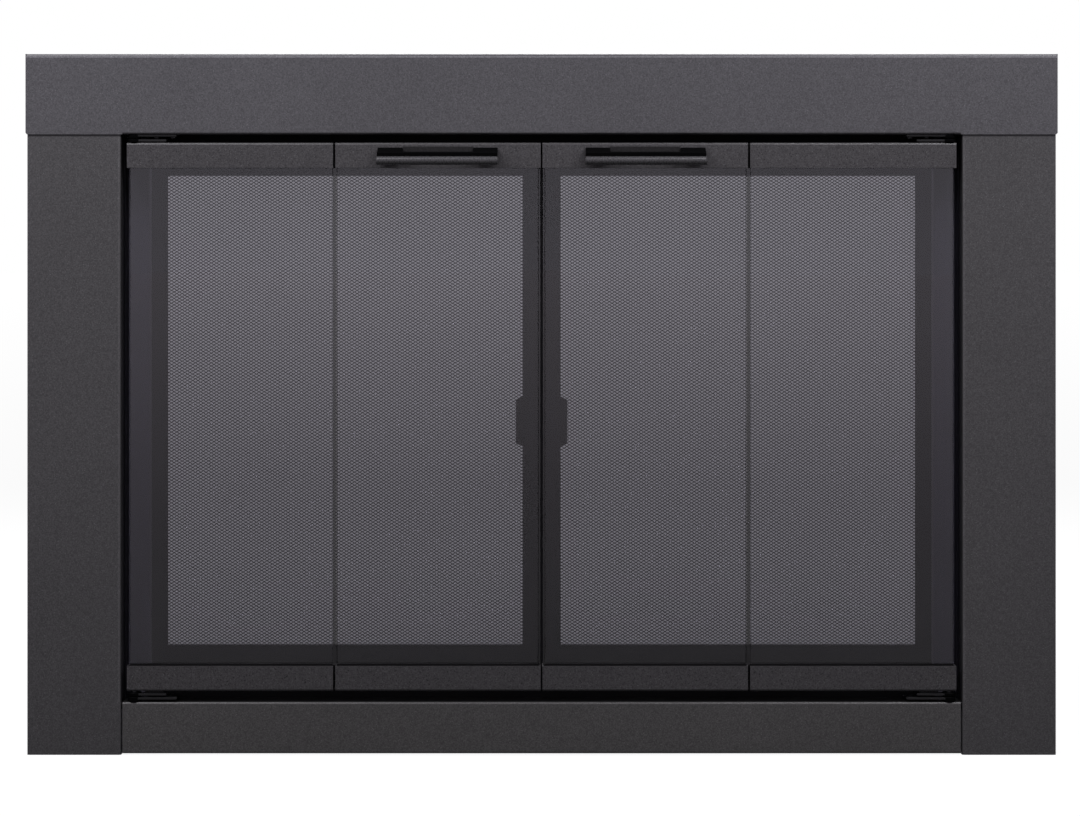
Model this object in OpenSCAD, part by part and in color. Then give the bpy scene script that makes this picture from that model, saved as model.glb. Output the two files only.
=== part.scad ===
// Bi-fold glass door for a fireplace, with hinged mesh screens behind the glass.
// Origin: centre of the width and of the whole depth, at the height of the hearth.
// The front faces -Y. Every piece is drawn for the right-hand side (+X) and mirrored
// for the left. Depths are measured from the front face of the header, towards +Y.

/* [Surround] */
// Overall width, over the header
overall_w = 1105; // [1095:1:1125]
// Overall height above the hearth
overall_h = 750; // [748:1:770]
// Depth of the surround, from its face to the lips that meet the masonry
surround_d = 50; // [46:1:60]
// Thickness of the folded sheet steel
sheet_t = 1.5; // [1.2:0.1:1.6]
// Radius of a fold, at the middle of the sheet
fold_r = 1.75; // [1.2:0.05:2]
// Width of the opening between the side panels
opening_w = 900; // [899:0.5:901]
// Height of the lower edge of the opening
opening_bottom = 56.5; // [56:0.1:57]
// Height of the upper edge of the opening
opening_top = 664; // [663.5:0.1:664.5]

/* [Glass doors] */
// Height of the lower edge of the doors
door_bottom = 68; // [67.8:0.1:68.2]
// Height of the upper edge of the doors
door_top = 655.2; // [655:0.1:655.3]
// Distance of the outer edge of a pair from the middle of the opening
pair_outer = 443.8; // [443:0.1:444.2]
// Distance of the fold of a pair from the middle of the opening
fold_x = 222.05; // [221:0.05:223]
// Gap between the two panels of a pair
fold_gap = 2.5; // [2:0.1:3]
// Gap between the two pairs
centre_gap = 2; // [1.5:0.1:3]
// Height of a clamp rail
rail_h = 27; // [25:0.5:30]
// Thickness of a clamp rail
rail_d = 13; // [13:0.1:13.2]
// Depth of the front of the rails behind the face of the header
rail_set = 1.5; // [1.2:0.1:1.8]
// Thickness of the glass
glass_t = 5; // [4.8:0.1:5.2]

/* [Pivots and hinges] */
// Distance of a pivot pin from the middle of the opening
pivot_x = 436.6; // [436.2:0.1:437]
// Diameter of a pivot pin
pivot_d = 6; // [5:0.1:6.2]
// Diameter of the black bushes round the pivot pins
bush_d = 15; // [14:0.5:15.5]
// Diameter of the knuckles of the fold hinges
knuckle_d = 8; // [7.5:0.1:8]
// Diameter of the fold pins
fold_pin_d = 4; // [3:0.1:4.5]
// Radial clearance of a pin that turns in its hole
running_fit = 0.05; // [0.02:0.01:0.09]

/* [Handles] */
// Length of a handle
handle_l = 129; // [110:1:140]
// Diameter of the handle's bar
bar_d = 9.2; // [8.5:0.1:10]
// Width of each foot of a handle
foot_w = 26; // [20:1:30]

/* [Mesh screens] */
// Height of the lower edge of the screens
screen_bottom = 92.4; // [91.9:0.1:92.8]
// Height of the upper edge of the screens
screen_top = 640.9; // [640.4:0.1:641]
// Thickness of a screen frame
screen_d = 6; // [5.5:0.1:6.2]
// Width of the top and bottom bars
screen_bar_w = 20.1; // [18:0.1:22]
// Width of the stile at the pins
outer_stile_w = 17.4; // [16:0.1:19]
// Width of the stile at the middle
inner_stile_w = 20; // [19:0.1:21]
// Whole diamonds across one screen
mesh_columns = 8; // [5:1:8]
// Whole diamonds up one screen
mesh_rows = 16; // [10:1:16]
// Width of a strand of the mesh
strand_w = 5; // [4:0.5:7]

/* [Hidden] */
$fn = 48;

// Colours
coat = "#3e3d3f";
coat_dark = "#2c2b2d";
smoke = [0.13, 0.13, 0.14, 0.55];
smoke_dark = [0.07, 0.07, 0.08, 0.75];
black = "#141414";
zinc = "#9a9c9e";
magnet_grey = "#4c4744";

// Depth of the whole part, in front of and behind the face of the header
reach_front = 29;
reach_back = 111;
face_y = (reach_front - reach_back) / 2;

// Surround
half_w = overall_w / 2;
panel_set = sheet_t;
side_slack = 0.25;
side_outer = half_w - sheet_t - side_slack;
half_open = opening_w / 2;
seam = 1.5;
bottom_lift = 1.3;
flange_d = 32;
lip = 16;
notch_gap = 0.5;
header_chamfer = 2;

// Inner frame, just behind the flanges of the opening
inner_set = 33;
inner_d = 37;
jamb_edge = 424.5;
jamb_lap_d = 13;
jamb_top = 712;
head_z = 644.4;
sill_z = 88.9;

// Screws, studs and the brackets at the corners: [height, length, back of the panel]
bolt_d = 5;
head_d = 9;
head_h = 3;
bracket_t = 2;
bracket_leg = 28;
bracket_side = 17;
upper_corner = [674, 60, sheet_t];
lower_corner = [10, 38, panel_set + sheet_t];

// Floor brackets, with two holes for anchors in the hearth
foot_t = 3;
foot_reach = 38;
foot_h = 58;
foot_y0 = 40;
foot_y1 = 101;
anchor_x = 402;
anchor_y = [56, 88];
anchor_d = 7;
foot_bolt_y = 54;
foot_bolt_z = [22, 44];

// Lintel clamps
clamp_x = 300;
clamp_w = 26;
clamp_t = 3;
clamp_z = 700;
clamp_bolt_z = 672;
clamp_screw_y = 96;
clamp_screw_d = 8;
clamp_screw_l = 49;
clamp_head_z = 673;

// Glass doors
rail_back = rail_set + rail_d;
door_mid = rail_set + rail_d / 2;
outer_x0 = fold_x + fold_gap / 2;
inner_x0 = centre_gap / 2;
inner_x1 = fold_x - fold_gap / 2;
ear_t = 1.2;
glass_inset = 2.4;
fold_inset = 1.4;
outer_fold_inset = 0.3;
gasket_t = (rail_d - 2 * sheet_t - glass_t) / 2;
gasket_lip = 1.2;
glass_bottom = door_bottom + sheet_t + gasket_t;
glass_top = door_top - sheet_t - gasket_t;
seam_w = 0.5;
seal_gap = 0.15;
seal_end = 0.3;
strip_x1 = 1.5;
strip_w = 3;
strip_t = 2;
strip_pass_x = 0.7;
lug_x = -12;
lug_h = 15.8;

// Pivots: a fixed plate on the surround and a moving leaf on the rail, one pin through both
plate_t = 2.1;
plate_w = 12;
fixed_plate_x = 391;
leaf_x = 402;
upper_leaf_z = 656.6;
lower_leaf_z = 63.5;
lower_plate_z = 59.2;
bush_gap = 0.3;
upper_bush_z = 659.6;
lower_bush_z = 62;
lower_bush_top = 66.4;
pin_end_gap = 0.5;
tail_w = 34;
tail_y = 30;
fixed_screw_x = [398, 416];
fixed_screw_y = 24;
fixed_screw_d = 4;
catch_z = 645;
pack_x = 405;
pack_l = 20;
pack_w = 6;

// Fold hinges, on the back of the rails
leaf_t = 2;
leaf_h = 24;
leaf_w = 24;
knuckle_clear = 0.3;
fold_y = rail_back + knuckle_d / 2 + knuckle_clear;
hinge_z = door_top - rail_h + (rail_h - leaf_h) / 2;
knuckle_h = 7.6;
knuckle_gap = (leaf_h - 3 * knuckle_h) / 2;
notch = 1;

// Handles
handle_x = (inner_x0 + inner_x1) / 2;
bar_y = bar_d / 2 - reach_front;
bar_z = 634.9;
bridge_top = 644.5;
bridge_back = -14;
bridge_front = -22;
foot_top = 649.5;
foot_bottom = 638.5;

// Screens
screen_set = 34;
screen_mid = screen_set + screen_d / 2;
screen_x0 = 0.6;
screen_x1 = 422.6;
screen_t = 1.2;
screen_fold_r = 1;
mesh_t = 1.5;
mesh_edge = 8;
screen_pin_x = 417.5;
screen_pin_d = 5;
screen_pin_h = 11;
screen_plug_h = 14;
mesh_x0 = screen_x0 + inner_stile_w;
mesh_x1 = screen_x1 - outer_stile_w;
mesh_z0 = screen_bottom + screen_bar_w;
mesh_z1 = screen_top - screen_bar_w;
tab_t = 1.2;
tab_z = 355.1;
tab_h = 54;
tab_end_h = 46;
tab_crease_x = 17.2;
tab_end_x = 27.4;
tab_rise = 7;

// Moves a piece from the depth scale of the face to the frame of the part
module at_face() {
    translate([0, face_y, 0]) children();
}

// Draws the right-hand piece, or its mirror image for the left
module on_side(side) {
    mirror([side < 0 ? 1 : 0, 0, 0]) children();
}

// The same piece on both sides
module both_sides() {
    for (side = [-1, 1]) on_side(side) children();
}

// Extrudes a depth-height profile along X, from x0 to x1
module along_x(x0, x1) {
    translate([x0, 0, 0]) rotate([90, 0, 90]) linear_extrude(x1 - x0) children();
}

// A straight stretch of sheet, seen on edge
module strip(from, to, t) {
    run = to - from;
    translate((from + to) / 2) rotate(atan2(run.y, run.x)) square([norm(run), t], center = true);
}

// A quarter turn of the sheet round a fold
module fold(corner, before, after, t, r) {
    centre = corner - before * r + after * r;
    out = before - after;
    translate(centre) rotate(atan2(out.y, out.x) - 45) intersection() {
        difference() {
            circle(r + t / 2);
            circle(r - t / 2);
        }
        square(r + t);
    }
}

// Sheet folded square along a path, which is the middle line of the sheet
module folded(path, t = sheet_t, r = fold_r) {
    last = len(path) - 2;
    way = [for (i = [0 : last]) (path[i + 1] - path[i]) / norm(path[i + 1] - path[i])];
    for (i = [0 : last])
        strip(path[i] + way[i] * (i == 0 ? 0 : r), path[i + 1] - way[i] * (i == last ? 0 : r), t);
    for (i = [1 : last]) fold(path[i], way[i - 1], way[i], t, r);
}

// ---- Surround ----

// Header: face, top flange with a lip at the back, lower flange and two end flanges
module header_panel() {
    mid = sheet_t / 2;
    back = surround_d - mid;
    upper = [[mid, overall_h - mid], [back, overall_h - mid], [back, overall_h - lip]];
    edge = fold_r + mid;
    color(coat) at_face() difference() {
        union() {
            along_x(-half_open + seam, half_open - seam)
                folded(concat([[flange_d, opening_top + mid], [mid, opening_top + mid]], upper));
            both_sides() {
                along_x(half_open - seam, half_w - sheet_t) folded(concat([[mid, opening_top]], upper));
                translate([half_w - sheet_t, 0, opening_top])
                    cube([sheet_t, surround_d, overall_h - opening_top]);
            }
        }
        both_sides() {
            translate([0, 0, opening_top - 1]) linear_extrude(overall_h) difference() {
                translate([half_w - edge, -1]) square(edge + 1);
                translate([half_w - edge, edge]) circle(edge);
            }
            translate([half_w, surround_d / 2, opening_top]) rotate([0, 45, 0])
                cube([header_chamfer * sqrt(2), surround_d + 2, header_chamfer * sqrt(2)], center = true);
        }
    }
}

// Side panel: face, outer flange with a lip at the back, and inner flange. It ends below the
// folds of the header, and its back edge is notched there for the header's lip
module side_panel(side) {
    mid = sheet_t / 2;
    front = panel_set + mid;
    back = surround_d - mid;
    color(coat) at_face() on_side(side) difference() {
        linear_extrude(overall_h - sheet_t - fold_r) folded([
            [side_outer - lip, back], [side_outer - mid, back], [side_outer - mid, front],
            [half_open + mid, front], [half_open + mid, back]
        ]);
        translate([half_open - 1, surround_d - sheet_t - notch_gap, overall_h - lip - notch_gap])
            cube([side_outer - half_open + 2, sheet_t + notch_gap + 1, lip + notch_gap]);
    }
}
module left_side_panel() { side_panel(-1); }
module right_side_panel() { side_panel(1); }

// Bottom panel: face, upper flange with a stiffening lip, and lower flange
module bottom_panel() {
    mid = sheet_t / 2;
    front = panel_set + mid;
    top = opening_bottom - mid;
    color(coat) at_face() along_x(-half_open + seam, half_open - seam) folded([
        [20, bottom_lift + mid], [front, bottom_lift + mid], [front, top],
        [flange_d - mid, top], [flange_d - mid, top - 10]
    ]);
}

// Jamb: a Z-shaped upright that laps the side panel, closes the side of the opening
// behind the glass and carries the ends of the two channels
module jamb(side) {
    mid = sheet_t / 2;
    color(coat) at_face() on_side(side) linear_extrude(jamb_top) folded([
        [half_open - mid, inner_set - jamb_lap_d], [half_open - mid, inner_set + mid],
        [jamb_edge + mid, inner_set + mid], [jamb_edge + mid, inner_set + inner_d]
    ]);
}
module left_jamb() { jamb(-1); }
module right_jamb() { jamb(1); }

// A hole or a pin of a screen, upright at the screen's axis
module at_screen_axis() {
    both_sides() translate([screen_pin_x, screen_mid, 0]) children();
}

// Head channel: behind the header, with the holes for the upper pins of the screens
module head_channel() {
    mid = sheet_t / 2;
    back = inner_set + inner_d - mid;
    color(coat_dark) at_face() difference() {
        along_x(-jamb_edge, jamb_edge) folded([
            [inner_set + mid, 700], [inner_set + mid, head_z + mid],
            [back, head_z + mid], [back, head_z + 20]
        ]);
        at_screen_axis() translate([0, 0, head_z - 1])
            cylinder(h = 5, d = screen_pin_d + 2 * running_fit);
    }
}

// Sill channel: behind the bottom panel, with the holes for the lower pins of the screens
module sill_channel() {
    mid = sheet_t / 2;
    back = inner_set + inner_d - mid;
    color(coat_dark) at_face() difference() {
        along_x(-jamb_edge, jamb_edge) folded([
            [inner_set + mid, 20], [inner_set + mid, sill_z - mid],
            [back, sill_z - mid], [back, 62]
        ]);
        at_screen_axis() translate([0, 0, sill_z - 3])
            cylinder(h = 5, d = screen_pin_d + 2 * running_fit);
    }
}

// Two bolt heights up a corner bracket
function bolt_rows(corner) = [corner[0] + 9, corner[0] + corner[1] - 9];

// Where a corner bracket's bolts stand on the panel's back and on the side panel
module at_corner_bolts(corner) {
    for (z = bolt_rows(corner)) {
        translate([half_open - bracket_leg + 8, corner[2] + bracket_t, z]) rotate([-90, 0, 0]) children();
        translate([half_open - bracket_t, corner[2] + bracket_side - 6, z]) rotate([0, -90, 0]) children();
    }
}

// Corner bracket: an angle between a side panel and the header or the bottom panel
module corner_bracket(corner) {
    mid = bracket_t / 2;
    back = corner[2];
    difference() {
        translate([0, 0, corner[0]]) linear_extrude(corner[1]) folded([
            [half_open - bracket_leg, back + mid], [half_open - mid, back + mid],
            [half_open - mid, back + bracket_side]
        ], bracket_t, 2);
        at_corner_bolts(corner) translate([0, 0, -bracket_t - 1])
            cylinder(h = bracket_t + 2, d = bolt_d);
    }
}

module corner_brackets() {
    color(zinc) at_face() both_sides() for (corner = [upper_corner, lower_corner]) corner_bracket(corner);
}

// Hexagon nut or head with its shank, pointing along +Z from the face that it clamps
module hex_bolt(shank) {
    cylinder(h = head_h, d = head_d, $fn = 6);
    translate([0, 0, -shank]) cylinder(h = shank + head_h + 1, d = bolt_d);
}

// Pan-head screw, pointing along +Z from the face that it clamps
module pan_screw(shank, size = 4) {
    cylinder(h = 1.4, d = 2 * size);
    translate([0, 0, 1.4]) cylinder(h = 0.8, d1 = 2 * size, d2 = 1.3 * size);
    translate([0, 0, -shank]) cylinder(h = shank + 0.5, d = size);
}

// Clamp screw: knurled head below, shank through the strap, swivel pad under the lintel
module lintel_clamp_screw() {
    cylinder(h = 8, d = 20);
    cylinder(h = clamp_screw_l, d = clamp_screw_d);
    translate([0, 0, clamp_screw_l]) cylinder(h = 3, d = 22);
}

// Every screw and stud of the surround, with the two long screws of the lintel clamps
module frame_fasteners() {
    color(zinc) at_face() both_sides() {
        for (corner = [upper_corner, lower_corner]) at_corner_bolts(corner) hex_bolt(bracket_t);
        for (x = fixed_screw_x) translate([x, fixed_screw_y, 0]) {
            translate([0, 0, opening_top - plate_t]) rotate([180, 0, 0]) pan_screw(plate_t);
            translate([0, 0, opening_bottom + plate_t]) pan_screw(plate_t);
        }
        for (z = foot_bolt_z)
            translate([jamb_edge - foot_t, foot_bolt_y, z]) rotate([0, -90, 0]) hex_bolt(foot_t);
        translate([clamp_x, inner_set + sheet_t + clamp_t, clamp_bolt_z]) rotate([-90, 0, 0])
            hex_bolt(clamp_t);
        translate([clamp_x, clamp_screw_y, clamp_head_z]) lintel_clamp_screw();
    }
}

// Floor bracket: an angle on the jamb with two holes for anchors in the hearth
module floor_brackets() {
    color(zinc) at_face() both_sides() difference() {
        union() {
            translate([jamb_edge - foot_reach, foot_y0, 0])
                cube([foot_reach, foot_y1 - foot_y0, foot_t]);
            translate([jamb_edge - foot_t, foot_y0, 0]) cube([foot_t, 28, foot_h]);
        }
        for (y = anchor_y) translate([anchor_x, y, -1]) cylinder(h = foot_t + 2, d = anchor_d);
        for (z = foot_bolt_z) translate([jamb_edge - foot_t - 1, foot_bolt_y, z]) rotate([0, 90, 0])
            cylinder(h = foot_t + 2, d = bolt_d);
    }
}

// Lintel clamp: a strap from the head channel that holds a screw under the lintel
module lintel_clamps() {
    mid = clamp_t / 2;
    front = inner_set + sheet_t + mid;
    color(zinc) at_face() both_sides() difference() {
        along_x(clamp_x - clamp_w / 2, clamp_x + clamp_w / 2) folded([
            [front, clamp_z - 40], [front, clamp_z - mid], [reach_back, clamp_z - mid]
        ], clamp_t, 3);
        translate([clamp_x, clamp_screw_y, clamp_z - 10]) cylinder(h = 20, d = clamp_screw_d);
        translate([clamp_x, inner_set, clamp_bolt_z]) rotate([-90, 0, 0]) cylinder(h = 10, d = bolt_d);
    }
}

// ---- Pivots ----

module at_pivot() {
    translate([pivot_x, door_mid, 0]) children();
}

// Outline of a plate with a round end at the pivot, seen from above
module plate_outline(x0, end_w) {
    translate([x0, door_mid - end_w / 2]) square([pivot_x - x0, end_w]);
    translate([pivot_x, door_mid]) circle(d = end_w);
}

// Outline of a fixed plate, with its tail back to the screws
module fixed_outline() {
    plate_outline(fixed_plate_x, plate_w);
    translate([fixed_plate_x, door_mid]) square([tail_w, tail_y - door_mid]);
}

module upper_pivot_plate() {
    difference() {
        translate([0, 0, opening_top - plate_t]) linear_extrude(plate_t) fixed_outline();
        translate([0, 0, opening_top - 5]) {
            at_pivot() cylinder(h = 10, d = pivot_d + 2 * running_fit);
            for (x = fixed_screw_x) translate([x, fixed_screw_y, 0]) cylinder(h = 10, d = fixed_screw_d);
        }
    }
}

// The lower plate is joggled, so that its front end stands clear of the flange
module lower_pivot_plate() {
    step_y = door_mid + plate_w / 2 + 1;
    mid = plate_t / 2;
    difference() {
        union() {
            translate([0, 0, lower_plate_z]) linear_extrude(plate_t) plate_outline(fixed_plate_x, plate_w);
            along_x(fixed_plate_x, fixed_plate_x + tail_w) folded([
                [door_mid, lower_plate_z + mid], [step_y, lower_plate_z + mid],
                [step_y, opening_bottom + mid], [tail_y, opening_bottom + mid]
            ], plate_t, 1.3);
        }
        translate([0, 0, opening_bottom - 1]) {
            at_pivot() cylinder(h = 10, d = pivot_d + 2 * running_fit);
            for (x = fixed_screw_x) translate([x, fixed_screw_y, 0]) cylinder(h = 10, d = fixed_screw_d);
        }
    }
}

// The four fixed plates that the pairs of panels turn on
module pivot_plates() {
    color(coat_dark) at_face() both_sides() {
        upper_pivot_plate();
        lower_pivot_plate();
    }
}

// A black bush with chamfered rims, from z0 to z1, with a hole for the pin
module bush(z0, z1, hole_d) {
    rim = 0.8;
    difference() {
        at_pivot() {
            translate([0, 0, z0]) cylinder(h = rim, d1 = bush_d - 2 * rim, d2 = bush_d);
            translate([0, 0, z0 + rim]) cylinder(h = z1 - z0 - 2 * rim, d = bush_d);
            translate([0, 0, z1 - rim]) cylinder(h = rim, d1 = bush_d, d2 = bush_d - 2 * rim);
        }
        at_pivot() translate([0, 0, z0 - 1]) cylinder(h = z1 - z0 + 2, d = hole_d);
    }
}

// The fixed halves of the bushes, round the ends of the fixed plates
module fixed_pivot_bushes() {
    hole = pivot_d + 2 * running_fit;
    color(black) at_face() both_sides() {
        difference() {
            bush(upper_bush_z, opening_top, hole);
            translate([0, 0, opening_top - plate_t]) linear_extrude(plate_t + 1)
                plate_outline(fixed_plate_x, plate_w);
        }
        difference() {
            bush(opening_bottom, lower_bush_z, hole);
            translate([0, 0, lower_plate_z]) linear_extrude(plate_t)
                plate_outline(fixed_plate_x, plate_w);
        }
    }
}

// The moving halves, round the ends of the leaves on the rails
module pivot_bushes(side) {
    color(black) at_face() on_side(side) {
        difference() {
            bush(door_top, upper_bush_z - bush_gap, pivot_d);
            translate([0, 0, upper_leaf_z]) linear_extrude(plate_t) plate_outline(leaf_x, plate_w - 1);
        }
        difference() {
            bush(lower_bush_z + bush_gap, lower_bush_top, pivot_d);
            translate([0, 0, lower_leaf_z]) linear_extrude(plate_t) plate_outline(leaf_x, plate_w - 1);
        }
    }
}
module left_pivot_bushes() { pivot_bushes(-1); }
module right_pivot_bushes() { pivot_bushes(1); }

// Moving leaves, on packing strips welded to the rails
module pivot_leaves(side) {
    color(coat_dark) at_face() on_side(side) difference() {
        union() {
            for (z = [upper_leaf_z, lower_leaf_z]) translate([0, 0, z]) linear_extrude(plate_t)
                plate_outline(leaf_x, plate_w - 1);
            translate([pack_x, door_mid - pack_w / 2, 0]) {
                translate([0, 0, door_top]) cube([pack_l, pack_w, upper_leaf_z - door_top]);
                translate([0, 0, lower_leaf_z + plate_t])
                    cube([pack_l, pack_w, door_bottom - lower_leaf_z - plate_t]);
            }
        }
        at_pivot() {
            translate([0, 0, upper_leaf_z - 1]) cylinder(h = plate_t + 2, d = pivot_d);
            translate([0, 0, lower_leaf_z - 1]) cylinder(h = plate_t + 2, d = pivot_d);
        }
    }
}
module left_pivot_leaves() { pivot_leaves(-1); }
module right_pivot_leaves() { pivot_leaves(1); }

// Pivot pins, one above and one below the pair
module pivot_pins(side) {
    color(zinc) at_face() on_side(side) at_pivot() {
        translate([0, 0, door_top]) cylinder(h = opening_top - pin_end_gap - door_top, d = pivot_d);
        translate([0, 0, opening_bottom + pin_end_gap])
            cylinder(h = door_bottom - opening_bottom - pin_end_gap, d = pivot_d);
    }
}
module left_pivot_pins() { pivot_pins(-1); }
module right_pivot_pins() { pivot_pins(1); }

// Catches: magnets on the head channel, for the glass doors and for the screens
module catch_magnets() {
    color(magnet_grey) at_face() both_sides() {
        translate([8, rail_back + 0.5, catch_z]) cube([22, 6, 10]);
        translate([11, rail_back + 6.5, catch_z + 2]) cube([16, inner_set - rail_back - 6.5, 6]);
        translate([6, inner_set + sheet_t, screen_top + 0.3]) cube([24, 7, head_z - screen_top - 0.3]);
    }
}

// ---- Glass doors ----

// Cross-section of a top rail, open downwards
module rail_section() {
    mid = sheet_t / 2;
    folded([
        [rail_set + mid, door_top - rail_h], [rail_set + mid, door_top - mid],
        [rail_back - mid, door_top - mid], [rail_back - mid, door_top - rail_h]
    ]);
}

// The same outline, filled, for the ears that close the ends
module ear_section() {
    r = fold_r + sheet_t / 2;
    translate([rail_set, door_top - rail_h]) square([rail_d, rail_h - r]);
    translate([rail_set + r, door_top - r]) square([rail_d - 2 * r, r]);
    for (y = [rail_set + r, rail_back - r]) translate([y, door_top - r]) circle(r);
}

// Cross-section of the gasket between the glass and a top rail
module gasket_section() {
    inside = rail_d - 2 * sheet_t;
    r = fold_r - sheet_t / 2;
    h = rail_h - sheet_t - gasket_lip;
    translate([rail_set + sheet_t, door_top - rail_h + gasket_lip]) difference() {
        union() {
            square([inside, h - r]);
            translate([r, 0]) square([inside - 2 * r, h]);
            for (y = [r, inside - r]) translate([y, h - r]) circle(r);
        }
        translate([gasket_t, -1]) square([glass_t, h - gasket_t + 1]);
    }
}

// Turns a top rail, ear or gasket over to the bottom of the door
module at_bottom() {
    translate([0, 0, door_top + door_bottom]) mirror([0, 0, 1]) children();
}

// A clamp rail from x0 to x1, with an ear at each end that asks for one
module clamp_rail(x0, x1, ears) {
    along_x(x0, x1) rail_section();
    if (ears[0]) along_x(x0, x0 + ear_t) ear_section();
    if (ears[1]) along_x(x1 - ear_t, x1) ear_section();
}

module outer_rail() { clamp_rail(outer_x0, pair_outer, [false, true]); }
module inner_rail() { clamp_rail(inner_x0, inner_x1, [true, true]); }

module outer_top_rail(side) { color(coat) at_face() on_side(side) outer_rail(); }
module outer_bottom_rail(side) { color(coat) at_face() on_side(side) at_bottom() outer_rail(); }
module inner_top_rail(side) { color(coat) at_face() on_side(side) inner_rail(); }
module inner_bottom_rail(side) { color(coat) at_face() on_side(side) at_bottom() inner_rail(); }
module left_outer_top_rail() { outer_top_rail(-1); }
module right_outer_top_rail() { outer_top_rail(1); }
module left_outer_bottom_rail() { outer_bottom_rail(-1); }
module right_outer_bottom_rail() { outer_bottom_rail(1); }
module left_inner_top_rail() { inner_top_rail(-1); }
module right_inner_top_rail() { inner_top_rail(1); }
module left_inner_bottom_rail() { inner_bottom_rail(-1); }
module right_inner_bottom_rail() { inner_bottom_rail(1); }

// Glass: a toughened sheet from x0 to x1, its upright edges seamed
module glass(side, x0, x1) {
    y0 = door_mid - glass_t / 2;
    y1 = door_mid + glass_t / 2;
    color(smoke) at_face() on_side(side) translate([0, 0, glass_bottom])
        linear_extrude(glass_top - glass_bottom) polygon([
            [x0, y0 + seam_w], [x0 + seam_w, y0], [x1 - seam_w, y0], [x1, y0 + seam_w],
            [x1, y1 - seam_w], [x1 - seam_w, y1], [x0 + seam_w, y1], [x0, y1 - seam_w]
        ]);
}
module outer_glass(side) { glass(side, outer_x0 + outer_fold_inset, pair_outer - glass_inset); }
module inner_glass(side) { glass(side, inner_x0 + glass_inset, inner_x1 - fold_inset); }
module left_outer_glass() { outer_glass(-1); }
module right_outer_glass() { outer_glass(1); }
module left_inner_glass() { inner_glass(-1); }
module right_inner_glass() { inner_glass(1); }

// Gaskets, one folded over each end of the glass
module gaskets(side, x0, x1) {
    color(black) at_face() on_side(side) {
        along_x(x0, x1) gasket_section();
        at_bottom() along_x(x0, x1) gasket_section();
    }
}
module outer_gaskets(side) { gaskets(side, outer_x0 + outer_fold_inset, pair_outer - glass_inset); }
module inner_gaskets(side) { gaskets(side, inner_x0 + glass_inset, inner_x1 - fold_inset); }
module left_outer_gaskets() { outer_gaskets(-1); }
module right_outer_gaskets() { outer_gaskets(1); }
module left_inner_gaskets() { inner_gaskets(-1); }
module right_inner_gaskets() { inner_gaskets(1); }

// Seal: a smoke-tinted strip on the edge of the outer glass, which closes the fold between
// the rails
module fold_seal(side) {
    x0 = inner_x1 - fold_inset + seal_gap;
    x1 = outer_x0 + outer_fold_inset;
    color(smoke_dark) at_face() on_side(side)
        translate([x0, door_mid - glass_t / 2, door_bottom + rail_h + seal_end])
            cube([x1 - x0, glass_t, door_top - door_bottom - 2 * (rail_h + seal_end)]);
}
module left_fold_seal() { fold_seal(-1); }
module right_fold_seal() { fold_seal(1); }

// Meeting strip: it stands behind the gap between the pairs, spot-welded by its two lugs to
// the backs of the left pair's rails. Behind the right pair's rails it is narrower
module left_meeting_strip() {
    z0 = door_bottom + rail_h + 1;
    z1 = door_top - rail_h - 1;
    color(coat_dark) at_face() translate([0, rail_back + strip_t, 0]) rotate([90, 0, 0])
        linear_extrude(strip_t) {
            translate([strip_x1 - strip_w, z0]) square([strip_w, z1 - z0]);
            for (z = [z0 - lug_h, z1]) translate([lug_x, z]) square([strip_pass_x - lug_x, lug_h]);
        }
}

// ---- Fold hinges ----

// Height of the lower end of knuckle 0, 1 or 2
function knuckle_z(i) = hinge_z + i * (knuckle_h + knuckle_gap);

// One leaf of a fold hinge: way is 1 for the outer panel and -1 for the inner
module hinge_leaf(way, knuckles, hole_d) {
    neck = knuckle_d / 2 + notch;
    difference() {
        union() {
            translate([fold_x, rail_back, 0]) mirror([way < 0 ? 1 : 0, 0, 0]) {
                translate([neck, 0, hinge_z]) cube([leaf_w - neck, leaf_t, leaf_h]);
                for (i = knuckles) translate([0, knuckle_clear, knuckle_z(i)])
                    cube([neck, leaf_t - knuckle_clear, knuckle_h]);
                for (z = [hinge_z + 5, hinge_z + leaf_h - 5])
                    translate([leaf_w - 6, leaf_t, z]) rotate([-90, 0, 0])
                        cylinder(h = 1.2, d1 = 7, d2 = 4.5);
            }
            for (i = knuckles) translate([fold_x, fold_y, knuckle_z(i)])
                cylinder(h = knuckle_h, d = knuckle_d);
        }
        translate([fold_x, fold_y, hinge_z - 1]) cylinder(h = leaf_h + 2, d = hole_d);
    }
}

// Upper and lower leaf of one panel
module hinge_leaves(side, way, knuckles, hole_d) {
    color(coat_dark) at_face() on_side(side) {
        hinge_leaf(way, knuckles, hole_d);
        at_bottom() hinge_leaf(way, knuckles, hole_d);
    }
}
module outer_hinge_leaves(side) { hinge_leaves(side, 1, [0, 2], fold_pin_d + 2 * running_fit); }
module inner_hinge_leaves(side) { hinge_leaves(side, -1, [1], fold_pin_d); }
module left_outer_hinge_leaves() { outer_hinge_leaves(-1); }
module right_outer_hinge_leaves() { outer_hinge_leaves(1); }
module left_inner_hinge_leaves() { inner_hinge_leaves(-1); }
module right_inner_hinge_leaves() { inner_hinge_leaves(1); }

// Fold pins, with a head above the upper knuckle
module fold_pin() {
    translate([fold_x, fold_y, hinge_z]) {
        cylinder(h = leaf_h + 0.3, d = fold_pin_d);
        translate([0, 0, leaf_h + 0.3]) cylinder(h = 1.2, d = fold_pin_d + 2.4);
    }
}
module fold_pins(side) {
    color(zinc) at_face() on_side(side) {
        fold_pin();
        at_bottom() fold_pin();
    }
}
module left_fold_pins() { fold_pins(-1); }
module right_fold_pins() { fold_pins(1); }

// ---- Handles ----

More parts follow.
